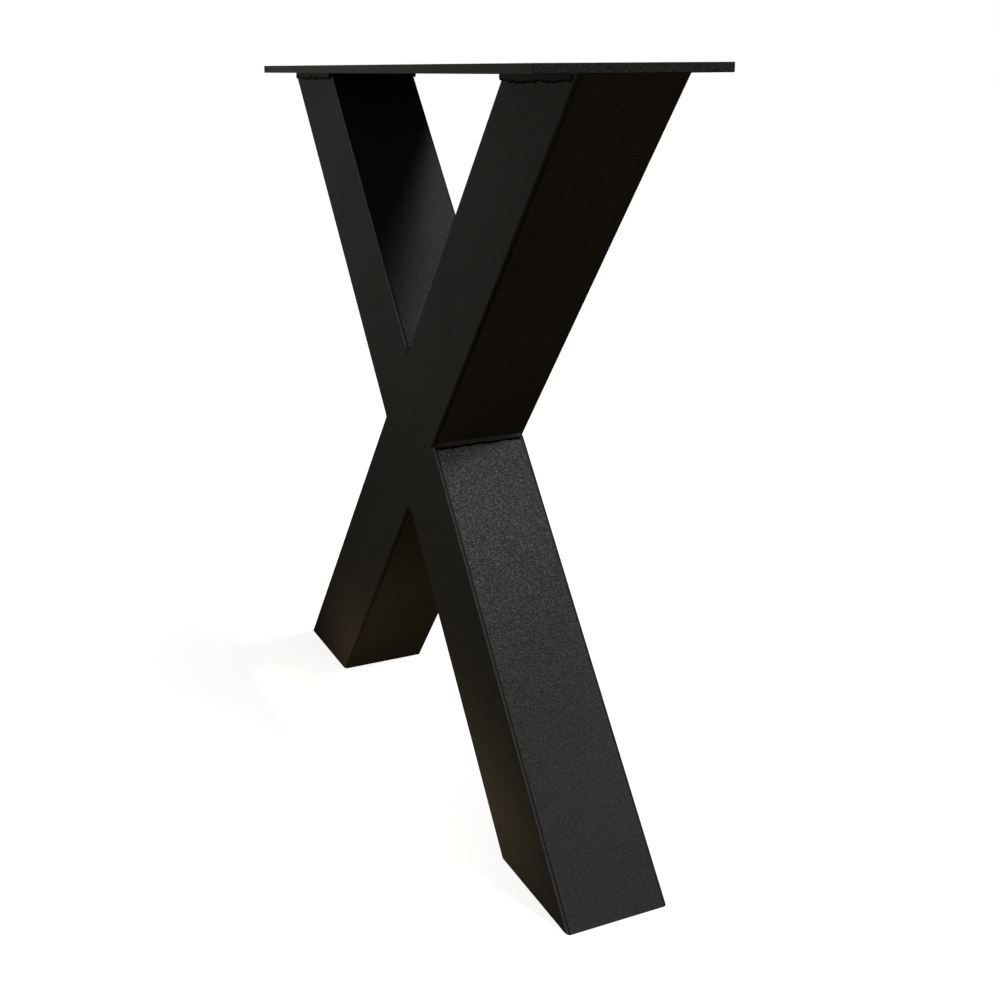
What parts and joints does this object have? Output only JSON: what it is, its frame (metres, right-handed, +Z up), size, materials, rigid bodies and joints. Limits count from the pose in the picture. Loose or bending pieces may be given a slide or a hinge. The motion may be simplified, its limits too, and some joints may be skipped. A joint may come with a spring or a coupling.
{
  "type": "x-shaped table leg",
  "caption": "X-shaped table leg of welded square steel tube under a long flat mounting plate, powder coated black.",
  "frame": {"origin": "on the floor, below the crossing of the tubes and halfway through their depth", "axes": "+X along the mounting plate, towards the end that the continuous tube carries; +Y through the depth, away from the viewer; +Z up, from the feet to the plate"},
  "size_m": [0.684, 0.176, 0.72],
  "materials": {
    "powder_coated_steel": "fine-textured satin black powder coat on the tubes and ground seams",
    "powder_coated_plate": "fine-textured satin black powder coat on the mounting plate",
    "powder_coated_weld": "satin black powder coat over rippled weld beads"
  },
  "bodies": {
    "root": {"mounting_plate": "powder_coated_plate", "long_tube": "powder_coated_steel", "upper_half_tube": "powder_coated_steel", "lower_half_tube": "powder_coated_steel", "left_foot_plate": "powder_coated_steel", "right_foot_plate": "powder_coated_steel", "left_plate_weld": "powder_coated_weld", "right_plate_weld": "powder_coated_weld", "left_waist_weld": "powder_coated_weld", "right_waist_weld": "powder_coated_weld", "upper_notch_weld": "powder_coated_weld", "lower_notch_weld": "powder_coated_weld", "front_upper_seam_weld": "powder_coated_steel", "front_lower_seam_weld": "powder_coated_steel", "back_upper_seam_weld": "powder_coated_steel", "back_lower_seam_weld": "powder_coated_steel"}
  },
  "joints": []
}
